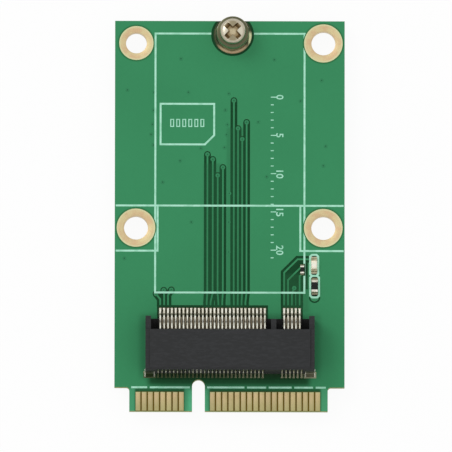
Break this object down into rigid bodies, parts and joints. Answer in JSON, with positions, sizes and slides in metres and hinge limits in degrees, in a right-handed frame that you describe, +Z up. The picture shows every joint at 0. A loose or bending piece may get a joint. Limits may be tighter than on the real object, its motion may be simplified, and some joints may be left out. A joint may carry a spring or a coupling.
{
  "type": "adapter card",
  "caption": "Mini card circuit board with a keyed card-edge socket, a screwed standoff, ringed mounting holes, gold edge contacts and a subscriber card holder on its back.",
  "frame": {"origin": "on the board's middle line, at the end of the edge tab, on the board's lower face", "axes": "+X across the card to the lamp's side, +Y from the edge tab towards the standoff, +Z up from the board's lower face through the socket"},
  "size_m": [0.0296, 0.0512, 0.0066],
  "materials": {
    "board_green": "satin solder resist over glass laminate",
    "gold_plate": "thin matt gold over nickel",
    "tinned_pad": "dull solder-coated copper",
    "printed_white": "matt ink",
    "housing_plastic": "moulded, fine grain",
    "contact_metal": "bright plated spring metal",
    "nickel": "nickel plate, slightly worn",
    "solder": "reflowed solder",
    "lens_cream": "cast clear resin over a pale chip",
    "lamp_board": "pale laminate",
    "ceramic_white": "fired alumina",
    "resistor_coat": "dark glaze",
    "holder_plastic": "moulded",
    "holder_steel": "stamped sheet"
  },
  "bodies": {
    "root": {"circuit_board": "board_green", "front_solder_pads": "tinned_pad", "rear_solder_pads": "tinned_pad", "hold_down_pads": "tinned_pad", "component_pads": "tinned_pad", "holder_pads": "tinned_pad", "hole_ring_top_left": "gold_plate", "hole_ring_top_right": "gold_plate", "hole_ring_middle_left": "gold_plate", "hole_ring_middle_right": "gold_plate", "standoff_pad": "gold_plate", "edge_fingers_top": "gold_plate", "edge_fingers_back": "gold_plate", "printed_lines": "printed_white", "socket_housing": "housing_plastic", "lower_contacts_long": "contact_metal", "lower_contacts_short": "contact_metal", "upper_contacts_long": "contact_metal", "upper_contacts_short": "contact_metal", "hold_down_left": "contact_metal", "hold_down_right": "contact_metal", "standoff": "nickel", "standoff_solder": "solder", "standoff_screw": "nickel", "lamp_base": "lamp_board", "lamp_terminals": "solder", "lamp_lens": "lens_cream", "resistor_core": "ceramic_white", "resistor_caps": "solder", "resistor_coat": "resistor_coat", "small_resistor_core": "ceramic_white", "small_resistor_caps": "solder", "small_resistor_coat": "resistor_coat", "component_solder": "solder", "holder_shell": "holder_steel", "holder_insert": "holder_plastic", "holder_springs": "contact_metal"}
  },
  "joints": []
}
